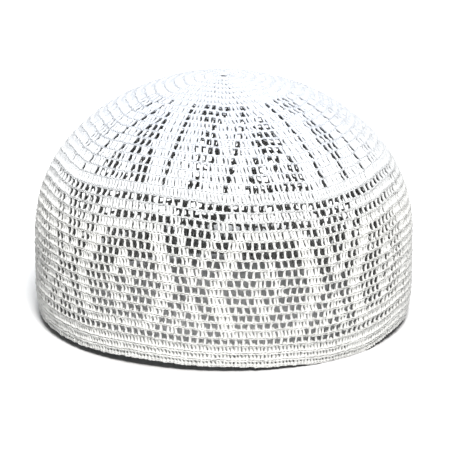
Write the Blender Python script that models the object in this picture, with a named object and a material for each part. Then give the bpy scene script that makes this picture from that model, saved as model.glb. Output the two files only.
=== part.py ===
"""A crocheted skull cap, worked in rounds from the crown down.

Three pieces make it: a domed crown with figures of open cells, a side band worked as an open
lattice, and a ribbed rim edging. Each open figure of the net is one gap, cut through the wall.

Distances along the fabric run up the outside of the cap, from the rim's lower edge to the top.
Angles run round the cap from its front, which faces -Y, towards +X.
"""

import math

import bpy
import numpy as np
from mathutils import Vector
from mathutils.geometry import delaunay_2d_cdt

# The cap's form
WALL_RADIUS = 0.0900  # outside of the straight side
CAP_HEIGHT = 0.1179  # floor to the top of the crown
SHOULDER_HEIGHT = 0.0408  # where the straight side starts to round over
DOME_RISE_POWER = 2.17  # the two powers of the dome's superellipse
DOME_SPREAD_POWER = 1.84
RIM_DRAW_IN = 0.0026  # how far the rim is pulled in
RIM_DRAW_HEIGHT = 0.0200  # the height over which it is pulled in

# The fabric
FABRIC_THICKNESS = 0.0020
EDGING_THICKNESS = 0.0026
RIB_DEPTH = 0.0006  # between two rounds of the edging
THREAD = 0.0020  # width of the strand left round each gap
CENTRE_HOLE_RADIUS = 0.0016  # the ring that the crown is started on
SEAM_GAP = 0.0003  # clearance between two pieces
FABRIC_LEAN = 0.095  # sideways drift for each unit of height, as rounds worked one way lean

# The rim's slow wave. The cap stands on the three lobes where the share is -1.
RIM_LIFT = 0.0026  # the rim's usual height above the floor
# degrees round the cap, share of RIM_LIFT above or below that height
RIM_WAVE = (
    (-111, -1.0), (-98, -1.0), (-76, 0.5), (-48, 0.25), (-26, 0.6), (0, 0.1), (16, -0.3),
    (34, -1.0), (47, -1.0), (67, 0.5), (90, 0.0), (140, -1.0), (156, -1.0), (200, 0.2), (249, -1.0),
)

# Rounds and repeats
EDGING_ROUNDS = 3
EDGING_ROUND_HEIGHT = 0.0039
BAND_ROUNDS = 16
BAND_ROUND_HEIGHT = 0.00416
BAND_REPEATS = 8
BAND_REPEAT_CELLS = 20
BAND_TURN = math.radians(10.2)  # the first lozenge's axis at the rim
CROWN_ROUNDS = 19
CROWN_PATTERN_ROUNDS = 12
CROWN_REPEATS = 6
CROWN_CELL = 0.0033  # width of a crown cell
CROWN_TURN = math.radians(-16.0)  # the first spoke pair's axis at the rim

# How finely the form is faceted
COLUMNS = 64
PROFILE_STEPS = 400
LONGEST_EDGE = 0.0110
POINT_CLEARANCE = 0.0024  # least distance from a surface point to a gap's edge

# Figures of the side band, as (cells from the axis, rounds above the edging). A lozenge's two
# inner and two outer slots stand round a repeat's axis, and the cross and its wedges round the
# axis half a repeat away. An eyelet round is one long slot for each repeat.
LOZENGE_INNER = ((0.25, 2), (2, 2), (4, 6.5), (1.75, 12), (0.25, 12), (0.25, 10), (2, 6.5), (0.25, 3))
LOZENGE_OUTER = ((2, 2), (3.75, 2), (6, 6.5), (3.25, 12), (1.75, 12), (4, 6.5))
CROSS = (
    (2.2, 6.5), (5.4, 13), (3.2, 13), (0, 7.5), (-3.2, 13), (-5.4, 13),
    (-2.2, 6.5), (-4.9, 1), (-2.7, 1), (0, 5.5), (2.7, 1), (4.9, 1),
)
WEDGE_HALF = ((0, 8.7), (3.25, 15), (0, 15))
LOWER_WEDGE = ((-2.0, 1), (2.0, 1), (0, 4.6))
TOP_SLOT = ((-9.7, 15), (9.7, 15), (9.7, 16), (-9.7, 16))
FOOT_SLOT = ((-9.7, 0), (9.7, 0), (9.7, 1), (-9.7, 1))

# Figures of the crown, as (cells from the axis, rounds above the band). "spoke", "tip" and
# "kite" stand on a repeat's axis, and "leaf" and its "feet" on the axis half a repeat away.
SPOKE = ((4.0, 1), (5.0, 1), (4.9, 12), (3.9, 12))
TIP = ((0, 8), (2.0, 12), (-2.0, 12))
KITE = ((0, 1.6), (1.5, 5.5), (0, 8.6), (-1.5, 5.5))
LEAF = ((0, 2.4), (1.5, 6.5), (0, 10.6), (-1.5, 6.5))
FOOT = ((0.6, 1), (4.6, 1), (2.6, 5.3))


def cap_profile():
    """Outline of the cap from the floor to the top, as distance along it, radius and height."""
    wall_heights = np.linspace(0.0, SHOULDER_HEIGHT, PROFILE_STEPS // 4, endpoint=False)
    pulled = np.clip(1.0 - wall_heights / RIM_DRAW_HEIGHT, 0.0, 1.0)
    wall_radii = WALL_RADIUS - RIM_DRAW_IN * pulled**2
    sweep = np.linspace(0.0, math.pi / 2, PROFILE_STEPS)
    dome_rise = CAP_HEIGHT - SHOULDER_HEIGHT
    dome_heights = SHOULDER_HEIGHT + dome_rise * np.sin(sweep) ** (2 / DOME_RISE_POWER)
    dome_radii = WALL_RADIUS * np.abs(np.cos(sweep)) ** (2 / DOME_SPREAD_POWER)
    radii = np.concatenate((wall_radii, dome_radii))
    heights = np.concatenate((wall_heights, dome_heights))
    steps = np.hypot(np.diff(radii), np.diff(heights))
    return np.concatenate(([0.0], np.cumsum(steps))), radii, heights


LENGTHS, RADII, HEIGHTS = cap_profile()
# How far the outside faces up. The wall stands level at the rim, so that its edge is flat.
SLOPES = np.arctan2(-np.gradient(RADII), np.gradient(HEIGHTS)) * np.clip(HEIGHTS / RIM_DRAW_HEIGHT, 0, 1)
FABRIC_LENGTH = LENGTHS[-1] - RIM_LIFT  # rim to the top, along the outside
EDGING_TOP = EDGING_ROUNDS * EDGING_ROUND_HEIGHT
BAND_TOP = EDGING_TOP + BAND_ROUNDS * BAND_ROUND_HEIGHT
CROWN_ROUND_HEIGHT = (FABRIC_LENGTH - BAND_TOP) / CROWN_ROUNDS
PATTERN_TOP = BAND_TOP + CROWN_PATTERN_ROUNDS * CROWN_ROUND_HEIGHT
BAND_CELL = 2 * math.pi * WALL_RADIUS / (BAND_REPEATS * BAND_REPEAT_CELLS)


def radius_at(distance):
    """Radius of the cap at a distance along its fabric."""
    return float(np.interp(distance + RIM_LIFT, LENGTHS, RADII))


def lean_table():
    """Angle by which the fabric has drifted round the cap, along the outline."""
    steps = np.diff(LENGTHS) / np.maximum(RADII[1:], CENTRE_HOLE_RADIUS)
    return FABRIC_LEAN * np.concatenate(([0.0], np.cumsum(steps)))


LEANS = lean_table()


def lean_at(distance):
    """Drift of the pattern at a distance along the fabric."""
    return float(np.interp(distance + RIM_LIFT, LENGTHS, LEANS))


def rim_wave(angle):
    """Rise or fall of the rim at an angle, eased from one row of the table to the next."""
    first = RIM_WAVE[0][0]
    degrees = first + (math.degrees(angle) - first) % 360
    for (low, share), (high, next_share) in zip(RIM_WAVE, RIM_WAVE[1:]):
        if degrees <= high:
            break
    eased = 0.5 - 0.5 * math.cos(math.pi * (degrees - low) / (high - low))
    return RIM_LIFT * (share + (next_share - share) * eased)


def on_cap(angle, distance, depth=0.0):
    """Point of the cap at an angle, a distance along the fabric and a depth into it."""
    above_band = (distance - BAND_TOP) / (PATTERN_TOP - BAND_TOP)
    fade = min(1.0, max(0.0, 1.0 - above_band))
    along = distance + RIM_LIFT + rim_wave(angle) * fade
    radius = float(np.interp(along, LENGTHS, RADII))
    height = float(np.interp(along, LENGTHS, HEIGHTS))
    slope = float(np.interp(along, LENGTHS, SLOPES))
    radius -= depth * math.cos(slope)
    height -= depth * math.sin(slope)
    return Vector((radius * math.sin(angle), -radius * math.cos(angle), height))


def flat_point(angle, distance):
    """The same place on a flat disc, with the crown's top at its centre."""
    reach = FABRIC_LENGTH - distance
    return Vector((reach * math.sin(angle), -reach * math.cos(angle)))


def inset(loop, depth):
    """A closed loop of points, running anticlockwise, moved inwards by a depth."""
    moved = []
    for before, here, after in zip(loop[-1:] + loop[:-1], loop, loop[1:] + loop[:1]):
        first = (here - before).normalized()
        second = (after - here).normalized()
        inward_first = Vector((-first.y, first.x))
        inward_second = Vector((-second.y, second.x))
        bisector = (inward_first + inward_second).normalized()
        moved.append(here + bisector * depth / max(0.3, bisector.dot(inward_first)))
    return moved


def anticlockwise(loop):
    """The loop in anticlockwise order."""
    area = sum(a.x * b.y - a.y * b.x for a, b in zip(loop, loop[1:] + loop[:1]))
    return loop if area > 0 else loop[::-1]


def split_edges(loop):
    """The loop with its long edges divided, so that they can follow the cap's curve."""
    points = []
    for here, after in zip(loop, loop[1:] + loop[:1]):
        parts = max(1, math.ceil((after - here).length / LONGEST_EDGE))
        points += [here.lerp(after, part / parts) for part in range(parts)]
    return points


def gap_loop(figure, cell, round_height, start, axis, radius=None):
    """A figure of the chart as a loop of angles and distances round its axis."""
    flat = [Vector((across * cell, rounds * round_height)) for across, rounds in figure]
    loop = split_edges(inset(anticlockwise(flat), THREAD / 2))
    placed = []
    for point in loop:
        distance = start + point.y
        width = radius or radius_at(distance)
        placed.append((axis + lean_at(distance) + point.x / width, distance))
    return placed


def mirrored(figure):
    """The figure turned over, left to right."""
    return tuple((-across, rounds) for across, rounds in figure)


def band_gaps():
    """Every gap of the side band."""
    gaps = []
    lozenge = (LOZENGE_INNER, LOZENGE_OUTER, mirrored(LOZENGE_INNER), mirrored(LOZENGE_OUTER))
    on_axis = (*lozenge, TOP_SLOT, FOOT_SLOT)
    between = (CROSS, WEDGE_HALF, mirrored(WEDGE_HALF), LOWER_WEDGE)
    for repeat in range(BAND_REPEATS):
        axis = BAND_TURN + 2 * math.pi * repeat / BAND_REPEATS
        half_way = axis + math.pi / BAND_REPEATS
        for figures, centre in ((on_axis, axis), (between, half_way)):
            for figure in figures:
                gaps.append(
                    gap_loop(figure, BAND_CELL, BAND_ROUND_HEIGHT, EDGING_TOP, centre, WALL_RADIUS)
                )
    return gaps


def crown_gaps():
    """Every gap of the crown."""
    gaps = []
    on_axis = (SPOKE, mirrored(SPOKE), TIP, KITE)
    between = (LEAF, FOOT, mirrored(FOOT))
    for repeat in range(CROWN_REPEATS):
        axis = CROWN_TURN + 2 * math.pi * repeat / CROWN_REPEATS
        half_way = axis + math.pi / CROWN_REPEATS
        for figures, centre in ((on_axis, axis), (between, half_way)):
            for figure in figures:
                gaps.append(gap_loop(figure, CROWN_CELL, CROWN_ROUND_HEIGHT, BAND_TOP, centre))
    return gaps


def ring(distance, columns, turn=0.0):
    """Points all the way round the cap at one distance along the fabric."""
    return [(2 * math.pi * (step + turn) / columns, distance) for step in range(columns)]


def columns_at(distance):
    """How many facets go round the cap there: fewer near the top, where it is small."""
    share = radius_at(distance) / WALL_RADIUS
    return max(12, 4 * round(COLUMNS * min(1.0, 1.15 * share) / 4))


def inside(point, loop):
    """Whether a flat point lies inside a flat loop."""
    hit = False
    for a, b in zip(loop, loop[1:] + loop[:1]):
        if (a.y > point.y) != (b.y > point.y):
            if point.x < a.x + (point.y - a.y) * (b.x - a.x) / (b.y - a.y):
                hit = not hit
    return hit


def nearest_edge(point, loop):
    """Distance from a flat point to a flat loop."""
    least = math.inf
    for a, b in zip(loop, loop[1:] + loop[:1]):
        run = b - a
        share = min(1.0, max(0.0, (point - a).dot(run) / run.length_squared))
        least = min(least, (point - a - run * share).length)
    return least


def pierced_sheet(name, low, high, gaps, ring_spacing):
    """A band of the cap's outside between two distances, with gaps cut through it."""
    flat_gaps = [[flat_point(*place) for place in gap] for gap in gaps]
    loops = [ring(low, columns_at(low)), ring(high, columns_at(high)), *gaps]
    places = []
    edges = []
    for loop in loops:
        first = len(places)
        places += loop
        edges += [(first + i, first + (i + 1) % len(loop)) for i in range(len(loop))]
    rings = max(2, round((high - low) / ring_spacing))
    for step in range(1, rings):
        distance = low + (high - low) * step / rings
        for place in ring(distance, columns_at(distance), 0.5 * (step % 2)):
            point = flat_point(*place)
            clear = all(nearest_edge(point, gap) > POINT_CLEARANCE for gap in flat_gaps)
            if clear and not any(inside(point, gap) for gap in flat_gaps):
                places.append(place)
    flat = [flat_point(*place) for place in places]
    points, _, faces, origins, _, _ = delaunay_2d_cdt(flat, edges, [], 0, 1e-7)
    outer = flat[: len(loops[0])]
    inner = flat[len(loops[0]) : len(loops[0]) + len(loops[1])]
    kept = []
    for face in faces:
        middle = sum((points[i] for i in face), Vector((0.0, 0.0))) / len(face)
        cut = [inner, *flat_gaps]
        if inside(middle, outer) and not any(inside(middle, loop) for loop in cut):
            kept.append(face)
    return walled_mesh(name, [places[origin[0]] for origin in origins], kept)


def walled_mesh(name, places, faces):
    """A closed mesh from the faces of its outside, with the fabric's thickness inwards."""
    count = len(places)
    vertices = [on_cap(*place) for place in places]
    vertices += [on_cap(*place, FABRIC_THICKNESS) for place in places]
    sides = {(a, b) for face in faces for a, b in zip(face, face[1:] + face[:1])}
    walls = [(b, a, a + count, b + count) for a, b in sides if (b, a) not in sides]
    lining = [tuple(vertex + count for vertex in reversed(face)) for face in faces]
    mesh = bpy.data.meshes.new(name)
    mesh.from_pydata(vertices, [], [*faces, *lining, *walls])
    return mesh


def add_piece(name, mesh, material):
    """Puts a mesh in the scene as a piece of the cap."""
    piece = bpy.data.objects.new(name, mesh)
    bpy.context.scene.collection.objects.link(piece)
    mesh.materials.append(material)
    return piece


def cotton(name, colour):
    """Matt cotton thread."""
    material = bpy.data.materials.new(name)
    material.use_nodes = True
    shader = material.node_tree.nodes["Principled BSDF"]
    shader.inputs["Base Color"].default_value = (*colour, 1.0)
    shader.inputs["Roughness"].default_value = 0.85
    shader.inputs["Metallic"].default_value = 0.0
    return material


def crown(material):
    """The domed top, from the centre ring down to the band."""
    top = FABRIC_LENGTH - CENTRE_HOLE_RADIUS
    mesh = pierced_sheet("crown", BAND_TOP + SEAM_GAP / 2, top, crown_gaps(), 2 * CROWN_ROUND_HEIGHT)
    return add_piece("crown", mesh, material)


def side_band(material):
    """The upright lattice between the crown and the edging."""
    low = EDGING_TOP + SEAM_GAP / 2
    high = BAND_TOP - SEAM_GAP / 2
    mesh = pierced_sheet("side_band", low, high, band_gaps(), 2.6 * BAND_ROUND_HEIGHT)
    return add_piece("side_band", mesh, material)


def edging_section():
    """Section of the edging, as distances up the fabric and depths into it."""
    top = EDGING_TOP - SEAM_GAP / 2
    section = [(0.0, RIB_DEPTH)]
    for count in range(EDGING_ROUNDS):
        low = count * EDGING_ROUND_HEIGHT
        section.append((low + EDGING_ROUND_HEIGHT / 2, 0.0))
        groove = min(top, low + EDGING_ROUND_HEIGHT)
        section.append((groove, RIB_DEPTH))
    section += [(top, EDGING_THICKNESS), (0.0, EDGING_THICKNESS)]
    return section


def rim_edging(material):
    """The close ribbed rounds at the rim, flat underneath."""
    section = edging_section()
    vertices = []
    faces = []
    for column in range(COLUMNS):
        angle = 2 * math.pi * column / COLUMNS
        vertices += [on_cap(angle, distance, depth) for distance, depth in section]
    count = len(section)
    for column in range(COLUMNS):
        here = column * count
        after = (column + 1) % COLUMNS * count
        for row in range(count):
            above = (row + 1) % count
            faces.append((here + row, after + row, after + above, here + above))
    mesh = bpy.data.meshes.new("rim_edging")
    mesh.from_pydata(vertices, [], faces)
    return add_piece("rim_edging", mesh, material)


def main():
    """Builds the cap in an empty scene."""
    for old in list(bpy.data.objects):
        bpy.data.objects.remove(old)
    white = cotton("white_cotton", (0.86, 0.86, 0.87))
    shaded = cotton("band_cotton", (0.83, 0.83, 0.83))
    edge = cotton("edging_cotton", (0.80, 0.80, 0.80))
    for piece in (crown(white), side_band(shaded), rim_edging(edge)):
        piece.data.shade_smooth()
        piece.data.set_sharp_from_angle(angle=math.radians(40))


main()
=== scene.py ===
"""A white crocheted cap on a pale floor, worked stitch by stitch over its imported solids.

Every round of the cap is charted below. From the chart come the places of the posts, which stand
up in each round, and of the loops, which close it along the top. Geometry Nodes set one strand or
loop of thread at each place and join them into plain meshes.

Distances along the fabric run up the outside of the cap from the rim's lower edge, in metres.
Angles run round it from its front, which faces -Y, towards +X.
"""

import math
import random

import bpy
import numpy as np
from mathutils import Matrix, Vector

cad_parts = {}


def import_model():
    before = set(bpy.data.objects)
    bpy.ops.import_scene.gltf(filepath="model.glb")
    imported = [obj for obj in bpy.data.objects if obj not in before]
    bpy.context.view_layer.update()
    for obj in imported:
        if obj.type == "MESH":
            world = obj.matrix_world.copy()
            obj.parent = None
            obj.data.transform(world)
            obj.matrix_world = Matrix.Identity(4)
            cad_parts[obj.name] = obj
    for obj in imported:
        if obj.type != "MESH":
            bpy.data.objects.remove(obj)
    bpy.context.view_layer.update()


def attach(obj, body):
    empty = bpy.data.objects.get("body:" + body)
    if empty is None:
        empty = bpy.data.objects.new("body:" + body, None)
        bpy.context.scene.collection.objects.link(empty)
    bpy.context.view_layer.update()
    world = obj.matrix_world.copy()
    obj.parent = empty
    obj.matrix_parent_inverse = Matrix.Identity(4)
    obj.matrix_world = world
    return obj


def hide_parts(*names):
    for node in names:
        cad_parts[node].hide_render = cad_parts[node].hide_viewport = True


# The cap's form
WALL_RADIUS = 0.0900
CAP_HEIGHT = 0.1179
SHOULDER_HEIGHT = 0.0408
DOME_RISE_POWER = 2.17
DOME_SPREAD_POWER = 1.84
RIM_DRAW_IN = 0.0026
RIM_DRAW_HEIGHT = 0.0200
FABRIC_LEAN = 0.095  # sideways drift for each unit of height
PROFILE_STEPS = 400

# The rim's slow wave: degrees round the cap, share of RIM_LIFT above or below the usual height
RIM_LIFT = 0.0026
RIM_WAVE = (
    (-111, -1.0), (-98, -1.0), (-76, 0.5), (-48, 0.25), (-26, 0.6), (0, 0.1), (16, -0.3),
    (34, -1.0), (47, -1.0), (67, 0.5), (90, 0.0), (140, -1.0), (156, -1.0), (200, 0.2), (249, -1.0),
)

# How the soft work wanders from even rounds, in millimetres. First by distance up the fabric: the
# rise of a round. Then by degrees round the cap: the rise at the three heights of WANDER_HEIGHTS,
# and the drift to the right in the band and in the crown.
ROUND_RISE = (
    (0, 0.0), (14, -0.4), (24, -1.4), (34, -1.7), (44, -1.6), (54, -1.1), (64, -0.4), (74, 0.0),
    (94, 0.2), (114, 0.6), (134, 0.8), (150, 0.5), (170, 0.0),
)
WANDER_HEIGHTS = (30, 65, 95)
WANDER = (
    (-80, 0.3, -0.4, -0.5, 0.2, -0.6),
    (-60, 0.8, -0.8, -1.4, 0.5, -1.7),
    (-50, 0.5, -0.1, -0.1, 1.0, -0.4),
    (-40, 0.35, 0.2, 0.6, 0.0, 0.5),
    (-30, 0.4, 0.5, 0.65, 0.2, 0.8),
    (-20, 0.0, 0.5, 0.5, 0.4, 0.1),
    (-10, -0.4, 0.3, 0.65, 0.25, 0.5),
    (0, -0.8, -0.8, -0.9, 0.4, 0.1),
    (10, -0.55, -0.5, -0.85, 0.1, 0.5),
    (20, -0.3, -0.4, -0.35, 0.5, 1.0),
    (30, -0.1, 0.3, -0.9, 0.1, 1.0),
    (40, 0.4, 1.1, -0.35, 0.2, -1.0),
    (50, 1.4, 1.1, 1.4, -1.4, -2.4),
    (60, 0.0, -0.6, -0.6, -0.9, -2.5),
    (80, 0.0, 0.0, 0.0, 0.0, -1.0),
    (180, 0.2, -0.2, 0.3, 0.3, 0.2),
)

# The work
EDGING_ROUNDS = 3
EDGING_ROUND_HEIGHT = 0.0039
BAND_ROUND_HEIGHT = 0.00416
BAND_REPEATS = 8
BAND_TURN = math.radians(10.2)
CROWN_REPEATS = 6
CROWN_CELL = 0.0033
CROWN_PATTERN_ROUNDS = 12
STITCH = 0.00177  # width of one stitch
LOOP_HEIGHT = 0.00148
LOOP_OVERLAP = 1.25  # how far a loop runs into its neighbours
OPEN_LOOP = 0.60  # height of a loop beside an open cell, as a share of the others
OPEN_POST = 0.74  # width of a post beside an open cell, in stitches
CLOSE_POST = 0.92  # width of a post among close ones
NARROWEST_PAIR = 0.45  # a space this wide or less, in stitches, takes one post in place of two
PAIR_PULL = 0.07  # how far two posts worked into one cell draw together, in stitches
OPEN_LEAN = (0.05, 0.13)  # usual lean of a post to the left and its spread, as angles
CLOSE_LEAN = (0.14, 0.09)
CLOSER_WORK = {"crown_top": 1.10, "crown_figures": 1.05}  # pieces with wider posts than the band's
LOOP_SETBACK = {"crown_figures": 0.8, "crown_top": 0.8}  # in thread depths, 0.5 in the other pieces
BAND_WHITE = "#E3E3E1"  # neutral, the cotton's own white, blending up the crown into a bluish tint of painted cool light
# painted light: the cotton's white tinted bluish, standing in for the cool light from above on the crown
CROWN_PAINTED_COOL_LIGHT_WHITE = "#DDE0E5"
MOTTLE_WHITE = "#F6F6F6"
THREAD_DEPTH = 0.0011  # half the fabric's thickness
CENTRE_RING = 0.0026  # radius of the ring that the work starts from

# The side band from the edging up: first cell's place in cells from a repeat's axis, then the
# cells from there to the axis half a repeat away, o for an open cell and x for a filled one.
BAND_CHART = (
    (0, "ooooooooooo"),
    (0, "xxxxxxooxoo"),
    (0.5, "ooooxxooxo"),
    (0, "xooooxxooxo"),
    (0.5, "xooooxxoox"),
    (0, "oxooooxxoox"),
    (0.5, "oxooooxxoo"),
    (0, "oxooooxxoox"),
    (0.5, "xooooxxoox"),
    (0, "xooooxxooxo"),
    (0.5, "ooooxxooxo"),
    (0, "ooooxxooxoo"),
    (0.5, "xxxxxooxoo"),
    (0, "ooooooxooo"),
    (0.5, "xxxxxooo"),
    (0, "ooooooooo"),
)

# The crown's rounds of open figures from the band up: the degrees of the two spokes of single
# cells in a repeat, then each run of open cells as (degrees of its middle, cells).
CROWN_CHART = (
    (0.6, 37.7, ((12.0, 4), (25.5, 4), (49.0, 2))),
    (1.8, 37.8, ((12.5, 3), (26.0, 3), (50.0, 1))),
    (2.9, 37.7, ((12.6, 2), (19.7, 1), (26.7, 2), (51.0, 2))),
    (3.7, 38.0, ((12.7, 1), (20.0, 2), (27.0, 1), (51.8, 3))),
    (4.9, 38.0, ((20.4, 3), (52.4, 4))),
    (6.3, 37.9, ((20.7, 4), (52.8, 3))),
    (7.8, 37.6, ((21.2, 3), (53.1, 2))),
    (9.3, 37.3, ((21.7, 2), (54.4, 1))),
    (10.8, 37.0, ((22.0, 1), (53.3, 3))),
    (12.0, 36.0, ((53.2, 4),)),
    (14.0, 35.5, ((54.7, 4),)),
)


def cap_profile():
    """Outline of the cap from the floor to the top, as distance along it, radius and height."""
    wall_heights = np.linspace(0.0, SHOULDER_HEIGHT, PROFILE_STEPS // 4, endpoint=False)
    pulled = np.clip(1.0 - wall_heights / RIM_DRAW_HEIGHT, 0.0, 1.0)
    wall_radii = WALL_RADIUS - RIM_DRAW_IN * pulled**2
    sweep = np.linspace(0.0, math.pi / 2, PROFILE_STEPS)
    dome_rise = CAP_HEIGHT - SHOULDER_HEIGHT
    dome_heights = SHOULDER_HEIGHT + dome_rise * np.sin(sweep) ** (2 / DOME_RISE_POWER)
    dome_radii = WALL_RADIUS * np.abs(np.cos(sweep)) ** (2 / DOME_SPREAD_POWER)
    radii = np.concatenate((wall_radii, dome_radii))
    heights = np.concatenate((wall_heights, dome_heights))
    steps = np.hypot(np.diff(radii), np.diff(heights))
    return np.concatenate(([0.0], np.cumsum(steps))), radii, heights


LENGTHS, RADII, HEIGHTS = cap_profile()
SLOPES = np.arctan2(-np.gradient(RADII), np.gradient(HEIGHTS))
LEANS = FABRIC_LEAN * np.concatenate(
    ([0.0], np.cumsum(np.diff(LENGTHS) / np.maximum(RADII[1:], CENTRE_RING)))
)
EDGING_TOP = EDGING_ROUNDS * EDGING_ROUND_HEIGHT
BAND_TOP = EDGING_TOP + len(BAND_CHART) * BAND_ROUND_HEIGHT
CROWN_ROUNDS = 19
CROWN_ROUND_HEIGHT = (LENGTHS[-1] - RIM_LIFT - BAND_TOP) / CROWN_ROUNDS
PATTERN_TOP = BAND_TOP + CROWN_PATTERN_ROUNDS * CROWN_ROUND_HEIGHT


def lean_at(distance):
    """Drift of the pattern at a distance along the fabric."""
    return float(np.interp(distance + RIM_LIFT, LENGTHS, LEANS))


def rim_wave(angle):
    """Rise or fall of the rim at an angle, eased from one row of the table to the next."""
    first = RIM_WAVE[0][0]
    degrees = first + (math.degrees(angle) - first) % 360
    for (low, share), (high, next_share) in zip(RIM_WAVE, RIM_WAVE[1:]):
        if degrees <= high:
            break
    eased = 0.5 - 0.5 * math.cos(math.pi * (degrees - low) / (high - low))
    return RIM_LIFT * (share + (next_share - share) * eased)


def wander(angle, column):
    """A column of the WANDER table at an angle, in metres."""
    degrees = [row[0] for row in WANDER]
    drifts = [row[column] for row in WANDER]
    return 0.001 * float(np.interp(math.degrees(angle), degrees, drifts, period=360))


def rise_at(angle, distance):
    """How far the soft work has risen or sunk from even rounds at a place on it."""
    spots = [row[0] for row in ROUND_RISE]
    rise = 0.001 * float(np.interp(1000 * distance, spots, [row[1] for row in ROUND_RISE]))
    waves = [wander(angle, column) for column in (1, 2, 3)]
    settled = min(1.0, max(0.0, (distance - 0.004) / 0.012))
    towards_top = min(1.0, max(0.0, (LENGTHS[-1] - distance) / 0.040))
    return rise + settled * towards_top * float(np.interp(1000 * distance, WANDER_HEIGHTS, waves))


def drift_at(angle, distance):
    """How far the soft work has drifted sideways at a place on it, as an angle."""
    in_crown = min(1.0, max(0.0, (distance - 0.066) / 0.018))
    return (wander(angle, 4) * (1 - in_crown) + wander(angle, 5) * in_crown) / WALL_RADIUS


def along_at(angle, distance):
    """Distance up the outline for a place on the fabric."""
    above_band = (distance - BAND_TOP) / (PATTERN_TOP - BAND_TOP)
    fade = min(1.0, max(0.0, 1.0 - above_band))
    return distance + RIM_LIFT + rim_wave(angle) * fade + rise_at(angle, distance)


def placed(angle, distance, depth):
    """Matrix of a place on the fabric: X along the round, Y into the fabric, Z up it."""
    along = along_at(angle, distance)
    angle += drift_at(angle, distance)
    radius = float(np.interp(along, LENGTHS, RADII))
    height = float(np.interp(along, LENGTHS, HEIGHTS))
    slope = float(np.interp(along, LENGTHS, SLOPES))
    outward = Vector((math.sin(angle), -math.cos(angle), 0.0))
    along_round = Vector((math.cos(angle), math.sin(angle), 0.0))
    out = outward * math.cos(slope) + Vector((0.0, 0.0, math.sin(slope)))
    up = out.cross(along_round)
    spot = outward * radius + Vector((0.0, 0.0, height)) - out * depth
    turned = Matrix((along_round, -out, up)).transposed().to_4x4()
    return Matrix.Translation(spot) @ turned


def radius_at(distance):
    """Radius of the cap at a distance along its fabric."""
    return float(np.interp(distance + RIM_LIFT, LENGTHS, RADII))


class Places:
    """Places for strands or loops, each a matrix and a size across, through and up the fabric."""

    def __init__(self):
        self.spots = []
        self.turns = []
        self.sizes = []

    def add(self, angle, distance, depth, size, lean=0.0):
        """Adds one place, leaning to the left by an angle."""
        matrix = placed(angle, distance, depth) @ Matrix.Rotation(-lean, 4, "Y")
        self.spots.append(matrix.translation[:])
        self.turns.append(matrix.to_euler()[:])
        self.sizes.append(size)

    def as_mesh(self, name):
        """The places as the points of a mesh, with their turns and sizes as attributes."""
        mesh = bpy.data.meshes.new(name)
        mesh.from_pydata(self.spots, [], [])
        for title, values in (("turn", self.turns), ("size", self.sizes)):
            attribute = mesh.attributes.new(title, "FLOAT_VECTOR", "POINT")
            attribute.data.foreach_set("vector", np.array(values, dtype=np.float32).ravel())
        return mesh


def posts_between(holes, cell_angle, radius):
    """Angle and width, in stitches, of each post of a round with open cells at the angles in holes."""
    turn = 2 * math.pi
    if not holes:
        count = max(6, round(turn * radius / STITCH))
        return [(turn * step / count, CLOSE_POST) for step in range(count)]
    posts = []
    ordered = sorted(hole % turn for hole in holes)
    for here, after in zip(ordered, ordered[1:] + [ordered[0] + turn]):
        left = here + cell_angle / 2
        width = (after - cell_angle / 2) - left
        if width * radius < NARROWEST_PAIR * STITCH:
            posts.append((left + width / 2, OPEN_POST))
            continue
        count = max(1, round(width * radius / STITCH))
        pull = PAIR_PULL * STITCH / radius
        for step in range(count + 1):
            towards = pull if step % 2 else -pull
            if 0 < step < count:
                posts.append((left + width * step / count + towards, CLOSE_POST))
            else:
                posts.append((left + width * step / count, OPEN_POST))
    return posts


def band_holes(first, chart, distance):
    """Centres of the open cells of a round of the band, and the angle of one cell."""
    half = first + len(chart) - 1 if first == 0 else first + len(chart) - 0.5
    cell = math.pi / BAND_REPEATS / half
    holes = set()
    for repeat in range(BAND_REPEATS):
        axis = 2 * half * repeat
        for count, mark in enumerate(chart):
            if mark == "o":
                across = first + count
                holes |= {(axis + across) % (2 * half * BAND_REPEATS)}
                holes |= {(axis - across) % (2 * half * BAND_REPEATS)}
    turn = BAND_TURN + lean_at(distance)
    return [turn + hole * cell for hole in holes], cell


def crown_holes(row, distance):
    """Centres of the open cells of a round of the crown, and the angle of one cell."""
    spoke_a, spoke_b, runs = row
    cell = CROWN_CELL / radius_at(distance)
    repeat_holes = [math.radians(spoke_a), math.radians(spoke_b)]
    for middle, count in runs:
        first = math.radians(middle) - cell * (count - 1) / 2
        repeat_holes += [first + cell * step for step in range(count)]
    turns = [2 * math.pi * repeat / CROWN_REPEATS for repeat in range(CROWN_REPEATS)]
    return [turn + hole for turn in turns for hole in repeat_holes], cell


def rounds_of_work():
    """Every round as (piece, distance of its middle, height, open cells, cell angle)."""
    rounds = []
    for count in range(EDGING_ROUNDS):
        middle = (count + 0.5) * EDGING_ROUND_HEIGHT
        rounds.append(("edging", middle, EDGING_ROUND_HEIGHT, [], 0.0))
    for count, (first, chart) in enumerate(BAND_CHART):
        middle = EDGING_TOP + (count + 0.5) * BAND_ROUND_HEIGHT
        holes, cell = band_holes(first, chart, middle)
        piece = "band_lower" if count < len(BAND_CHART) // 2 else "band_upper"
        rounds.append((piece, middle, BAND_ROUND_HEIGHT, holes, cell))
    for count in range(CROWN_ROUNDS):
        height = CROWN_ROUND_HEIGHT - (CENTRE_RING if count == CROWN_ROUNDS - 1 else 0.0)
        middle = BAND_TOP + count * CROWN_ROUND_HEIGHT + height / 2
        if 1 <= count <= len(CROWN_CHART):
            holes, cell = crown_holes(CROWN_CHART[count - 1], middle)
            rounds.append(("crown_figures", middle, height, holes, cell))
        else:
            piece = "crown_figures" if count == 0 else "crown_top"
            rounds.append((piece, middle, height, [], 0.0))
    return rounds


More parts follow.
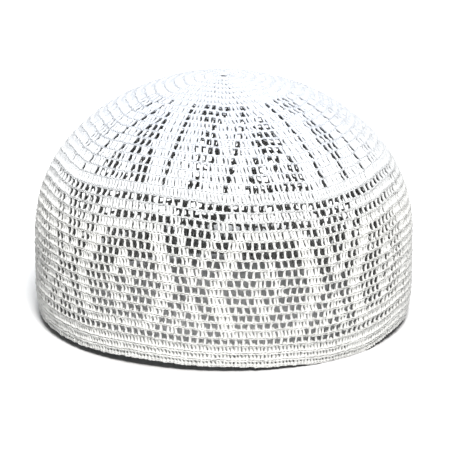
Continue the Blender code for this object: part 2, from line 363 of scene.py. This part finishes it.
def beside_hole(angle, rounds):
    """Whether an angle lies over an open cell of any of the rounds."""
    for _, _, _, holes, cell in rounds:
        for hole in holes:
            if abs((angle - hole + math.pi) % (2 * math.pi) - math.pi) < 0.5 * cell:
                return True
    return False


def stitch_places():
    """Places of the posts and the loops of each piece of the work."""
    posts = {}
    loops = {}
    dice = random.Random(7)
    rounds = rounds_of_work()
    for number, (piece, middle, height, holes, cell) in enumerate(rounds):
        radius = radius_at(middle)
        row_posts = posts.setdefault(piece, Places())
        row_loops = loops.setdefault(piece, Places())
        closer = CLOSER_WORK.get(piece, 1.0)
        for angle, share in posts_between(holes, cell, radius):
            jitter = dice.uniform(-0.07, 0.07) * STITCH / radius
            width = share * closer * STITCH * dice.uniform(0.92, 1.08)
            size = (width, 1.6 * THREAD_DEPTH, 0.98 * height)
            usual_lean, spread = OPEN_LEAN if share == OPEN_POST else CLOSE_LEAN
            lean = usual_lean + dice.uniform(-spread, spread)
            row_posts.add(angle + jitter, middle, THREAD_DEPTH, size, lean)
        top = middle + height / 2
        top_radius = max(CENTRE_RING, radius_at(top))
        count = max(8, round(2 * math.pi * top_radius / STITCH))
        width = 2 * math.pi * top_radius / count
        depth = LOOP_SETBACK.get(piece, 0.5) * THREAD_DEPTH
        for step in range(count):
            angle = 2 * math.pi * (step + 0.5 * dice.uniform(-0.06, 0.06)) / count + lean_at(top)
            share = OPEN_LOOP if beside_hole(angle, rounds[number : number + 2]) else 1.0
            loop_height = share * LOOP_HEIGHT * dice.uniform(0.94, 1.06)
            row_loops.add(angle, top, depth, (LOOP_OVERLAP * width, 1.7 * THREAD_DEPTH, loop_height))
    row_loops = loops["edging"]
    count = round(2 * math.pi * radius_at(0.0) / STITCH)
    for step in range(count):
        size = (LOOP_OVERLAP * STITCH, 1.7 * THREAD_DEPTH, LOOP_HEIGHT)
        row_loops.add(2 * math.pi * step / count, 0.0007, 0.7 * THREAD_DEPTH, size)
    return posts, loops


def add_node(tree, kind, settings=None, **links):
    """Adds a node, sets its properties and fills its inputs with values or other sockets."""
    node = tree.nodes.new(kind)
    for title, value in (settings or {}).items():
        setattr(node, title, value)
    for title, value in links.items():
        key = int(title[1:]) if title[0] == "i" and title[1:].isdigit() else title.replace("_", " ")
        socket = node.inputs[key]
        if isinstance(value, bpy.types.NodeSocket):
            tree.links.new(value, socket)
        else:
            socket.default_value = value
    return node


def strand(tree, start, middle, end, sides, steps, thickness, flare):
    """Nodes for one strand of thread of unit size along a curve, flared at its two ends."""
    path = add_node(
        tree, "GeometryNodeCurveQuadraticBezier", Resolution=steps, Start=start, Middle=middle, End=end
    )
    ring = add_node(tree, "GeometryNodeCurvePrimitiveCircle", Resolution=sides, Radius=thickness)
    along = add_node(tree, "GeometryNodeSplineParameter")
    from_middle = add_node(
        tree, "ShaderNodeMath", {"operation": "MULTIPLY_ADD"}, i0=along.outputs["Factor"], i1=2.0, i2=-1.0
    )
    middle_way = from_middle.outputs[0]
    squared = add_node(
        tree, "ShaderNodeMath", {"operation": "MULTIPLY"}, i0=middle_way, i1=middle_way
    )
    sooner = add_node(tree, "ShaderNodeMath", {"operation": "MULTIPLY"}, i0=squared.outputs[0], i1=2.2)
    capped = add_node(tree, "ShaderNodeMath", {"operation": "MINIMUM"}, i0=sooner.outputs[0], i1=1.0)
    girth = add_node(
        tree, "ShaderNodeMath", {"operation": "MULTIPLY_ADD"}, i0=capped.outputs[0], i1=flare, i2=1.0
    )
    tube = add_node(
        tree, "GeometryNodeCurveToMesh",
        Curve=path.outputs[0], Profile_Curve=ring.outputs[0], Scale=girth.outputs[0], Fill_Caps=True,
    )
    return tube.outputs[0]


def scatter_tree(name, shapes, material):
    """Tree that sets a joined shape at every point, realizes it and gives it its material."""
    tree = bpy.data.node_groups.new(name, "GeometryNodeTree")
    tree.interface.new_socket("Places", in_out="INPUT", socket_type="NodeSocketGeometry")
    seed = tree.interface.new_socket("Seed", in_out="INPUT", socket_type="NodeSocketInt")
    seed.default_value = 7
    swing = tree.interface.new_socket("Swing", in_out="INPUT", socket_type="NodeSocketFloat")
    swing.default_value = 0.06
    uneven = tree.interface.new_socket("Unevenness", in_out="INPUT", socket_type="NodeSocketFloat")
    uneven.default_value = 0.0013
    tree.interface.new_socket("Work", in_out="OUTPUT", socket_type="NodeSocketGeometry")
    given = tree.nodes.new("NodeGroupInput")
    joined = tree.nodes.new("GeometryNodeJoinGeometry")
    for shape in shapes:
        tree.links.new(strand(tree, *shape), joined.inputs[0])
    turn = add_node(
        tree, "GeometryNodeInputNamedAttribute", {"data_type": "FLOAT_VECTOR"}, Name="turn"
    )
    size = add_node(
        tree, "GeometryNodeInputNamedAttribute", {"data_type": "FLOAT_VECTOR"}, Name="size"
    )
    facing = add_node(tree, "FunctionNodeEulerToRotation", Euler=turn.outputs[0])
    placed_shapes = add_node(
        tree, "GeometryNodeInstanceOnPoints",
        Points=given.outputs["Places"], Instance=joined.outputs[0],
        Rotation=facing.outputs[0], Scale=size.outputs[0],
    )
    least = add_node(
        tree, "ShaderNodeMath", {"operation": "MULTIPLY"}, i0=given.outputs["Swing"], i1=-1.0
    )
    nudge = add_node(
        tree, "FunctionNodeRandomValue", {"data_type": "FLOAT"},
        Seed=given.outputs["Seed"],
    )
    tree.links.new(least.outputs[0], nudge.inputs[2])
    tree.links.new(given.outputs["Swing"], nudge.inputs[3])
    lean = add_node(tree, "ShaderNodeCombineXYZ", Y=nudge.outputs[1])
    swung = add_node(
        tree, "GeometryNodeRotateInstances",
        Instances=placed_shapes.outputs[0], Rotation=lean.outputs[0], Local_Space=True,
    )
    solid = add_node(tree, "GeometryNodeRealizeInstances", Geometry=swung.outputs[0])
    ripple = add_node(tree, "ShaderNodeTexNoise", Scale=420.0, Detail=1.0)
    centred = add_node(
        tree, "ShaderNodeVectorMath", {"operation": "SUBTRACT"},
        i0=ripple.outputs["Color"], i1=(0.5, 0.5, 0.5),
    )
    offset = add_node(
        tree, "ShaderNodeVectorMath", {"operation": "SCALE"},
        Vector=centred.outputs[0], Scale=given.outputs["Unevenness"],
    )
    soft = add_node(tree, "GeometryNodeSetPosition", Geometry=solid.outputs[0], Offset=offset.outputs[0])
    smooth = add_node(tree, "GeometryNodeSetShadeSmooth", Geometry=soft.outputs[0])
    coloured = add_node(
        tree, "GeometryNodeSetMaterial", Geometry=smooth.outputs[0], Material=material
    )
    out = tree.nodes.new("NodeGroupOutput")
    tree.links.new(coloured.outputs[0], out.inputs["Work"])
    return tree


def worked(name, places, tree, seed):
    """Plain mesh object made by a tree from a set of places."""
    source = bpy.data.objects.new(name + "_places", places.as_mesh(name + "_places"))
    bpy.context.scene.collection.objects.link(source)
    modifier = source.modifiers.new("Stitches", "NODES")
    modifier.node_group = tree
    items = tree.interface.items_tree
    sockets = {item.name: item.identifier for item in items if item.in_out == "INPUT"}
    modifier[sockets["Seed"]] = seed
    seen = source.evaluated_get(bpy.context.evaluated_depsgraph_get())
    mesh = bpy.data.meshes.new_from_object(seen)
    mesh.name = name
    bpy.data.objects.remove(source)
    piece = bpy.data.objects.new(name, mesh)
    bpy.context.scene.collection.objects.link(piece)
    return piece


def linear(code):
    """Linear colour from an sRGB hex code."""
    parts = [int(code[i : i + 2], 16) / 255 for i in (1, 3, 5)]
    return tuple(p / 12.92 if p <= 0.04045 else ((p + 0.055) / 1.055) ** 2.4 for p in parts) + (1.0,)


def cotton(name):
    """Bleached cotton thread, twisted and soft: matt white with a faint mottle and fine fibres, tinted
    bluish towards the top as painted cool light.
    """
    material = bpy.data.materials.new(name)
    material.use_nodes = True
    tree = material.node_tree
    shader = tree.nodes["Principled BSDF"]
    shader.inputs["Roughness"].default_value = 0.8
    shader.inputs["Sheen Weight"].default_value = 0.25
    shader.inputs["Sheen Roughness"].default_value = 0.5
    shader.inputs["Specular IOR Level"].default_value = 0.25
    where = add_node(tree, "ShaderNodeTexCoord")
    mottle = add_node(
        tree, "ShaderNodeTexNoise", Vector=where.outputs["Object"], Scale=160.0, Detail=3.0
    )
    parts = add_node(tree, "ShaderNodeSeparateXYZ", Vector=where.outputs["Object"])
    # painted cool light: from a height of 0.060 m to 0.105 m the white blends into the bluish crown white
    painted_cool_light_blend = add_node(
        tree, "ShaderNodeMapRange", Value=parts.outputs["Z"], From_Min=0.060, From_Max=0.105
    )
    base = add_node(tree, "ShaderNodeMix", {"data_type": "RGBA"}, Factor=painted_cool_light_blend.outputs[0])
    base.inputs[6].default_value = linear(BAND_WHITE)
    base.inputs[7].default_value = linear(CROWN_PAINTED_COOL_LIGHT_WHITE)
    mixed = add_node(
        tree, "ShaderNodeMix", {"data_type": "RGBA", "blend_type": "MULTIPLY"}, Factor=mottle.outputs[0]
    )
    tree.links.new(base.outputs[2], mixed.inputs[6])
    mixed.inputs[7].default_value = linear(MOTTLE_WHITE)
    tree.links.new(mixed.outputs[2], shader.inputs["Base Color"])
    fibres = add_node(
        tree, "ShaderNodeTexNoise", Vector=where.outputs["Object"], Scale=2600.0, Detail=4.0
    )
    bump = add_node(
        tree, "ShaderNodeBump", Height=fibres.outputs[0], Strength=0.35, Distance=0.0002
    )
    tree.links.new(bump.outputs[0], shader.inputs["Normal"])
    return material


def plain(name, code, roughness):
    """Painted board for the floor, with the faintest mottle."""
    material = bpy.data.materials.new(name)
    material.use_nodes = True
    tree = material.node_tree
    shader = tree.nodes["Principled BSDF"]
    shader.inputs["Roughness"].default_value = roughness
    where = add_node(tree, "ShaderNodeTexCoord")
    mottle = add_node(tree, "ShaderNodeTexNoise", Vector=where.outputs["Object"], Scale=3.0)
    mixed = add_node(tree, "ShaderNodeMix", {"data_type": "RGBA"}, Factor=mottle.outputs[0])
    mixed.inputs[6].default_value = linear(code)
    mixed.inputs[7].default_value = linear("#FFFFFF")
    tree.links.new(mixed.outputs[2], shader.inputs["Base Color"])
    return material


def add_camera():
    """The camera of the photograph: far off, a little above the cap."""
    rise = math.radians(16.61)
    reach = 1.640
    target = Vector((0.0, 0.0, 0.0576))
    spot = target + Vector((0.0, -math.cos(rise), math.sin(rise))) * reach
    data = bpy.data.cameras.new("camera")
    data.lens = 275.2
    data.sensor_width = 36.0
    data.clip_end = 20.0
    camera = bpy.data.objects.new("camera", data)
    bpy.context.scene.collection.objects.link(camera)
    aim = Vector((0.0006, 0.0, 0.0438)) - spot
    camera.location = spot
    camera.rotation_euler = aim.to_track_quat("-Z", "Y").to_euler()
    bpy.context.scene.camera = camera


def add_sun(name, rise, turn, softness, strength, colour):
    """A far soft lamp above the camera, turned to one side, whose light bounces only once."""
    data = bpy.data.lights.new(name, "SUN")
    data.angle = math.radians(softness)
    data.energy = strength
    data.color = colour
    data.cycles.max_bounces = 1
    lamp = bpy.data.objects.new(name, data)
    from_above = Vector((0.0, -math.cos(math.radians(rise)), math.sin(math.radians(rise))))
    from_above.rotate(Matrix.Rotation(math.radians(turn), 3, "Z"))
    lamp.location = from_above * 2.0
    lamp.rotation_euler = (-from_above).to_track_quat("-Z", "Y").to_euler()
    bpy.context.scene.collection.objects.link(lamp)


def add_studio():
    """Floor, soft lamps and an even pale surround."""
    mesh = bpy.data.meshes.new("floor")
    side = 3.0
    corners = [(-side, -side, 0), (side, -side, 0), (side, side, 0), (-side, side, 0)]
    mesh.from_pydata(corners, [], [(0, 1, 2, 3)])
    floor = bpy.data.objects.new("floor", mesh)
    bpy.context.scene.collection.objects.link(floor)
    mesh.materials.append(plain("floor_board", "#FEFEFE", 0.9))
    add_sun("key_lamp", 46.0, 7.0, 20.0, 2.08, (1.0, 0.99, 0.98))
    add_sun("top_lamp", 88.0, 0.0, 40.0, 0.55, (0.90, 0.95, 1.0))
    world = bpy.data.worlds.new("surround")
    world.use_nodes = True
    world.node_tree.nodes["Background"].inputs[0].default_value = (1.0, 1.0, 1.0, 1.0)
    world.node_tree.nodes["Background"].inputs[1].default_value = 0.17
    bpy.context.scene.world = world
    bpy.context.scene.view_settings.view_transform = "Standard"
    bpy.context.scene.view_settings.look = "Very High Contrast"


# A shape is strands, each its start, middle, end, sides, steps along and thickness, in shares of
# the size of its place: across, through and up the fabric. The last is the flare of its ends.
POST_SHAPE = (((0.0, -0.15, -0.5), (0.05, 0.05, 0.0), (0.0, -0.15, 0.5), 5, 4, 0.45, 0.38),)
LOOP_SHAPE = (
    ((-0.5, 0.1, 0.0), (0.1, -0.4, 0.62), (0.5, 0.0, 0.26), 4, 3, 0.28, 0.0),
    ((-0.5, 0.1, 0.0), (0.1, -0.4, -0.62), (0.5, 0.0, -0.26), 4, 3, 0.28, 0.0),
)
REPLACED = {
    "edging": "rim_edging", "band_lower": "side_band", "band_upper": "side_band",
    "crown_figures": "crown", "crown_top": "crown",
}


def main():
    """Dresses the cap and sets the studio."""
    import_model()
    thread = cotton("white_cotton_thread")
    post_tree = scatter_tree("crochet_posts", POST_SHAPE, thread)
    loop_tree = scatter_tree("crochet_loops", LOOP_SHAPE, thread)
    posts, loops = stitch_places()
    for seed, (name, node) in enumerate(REPLACED.items()):
        for kind, places, tree in (("posts", posts, post_tree), ("loops", loops, loop_tree)):
            piece = worked(name + "_" + kind, places[name], tree, seed)
            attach(piece, "root")
            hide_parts(node)
    add_camera()
    add_studio()


main()
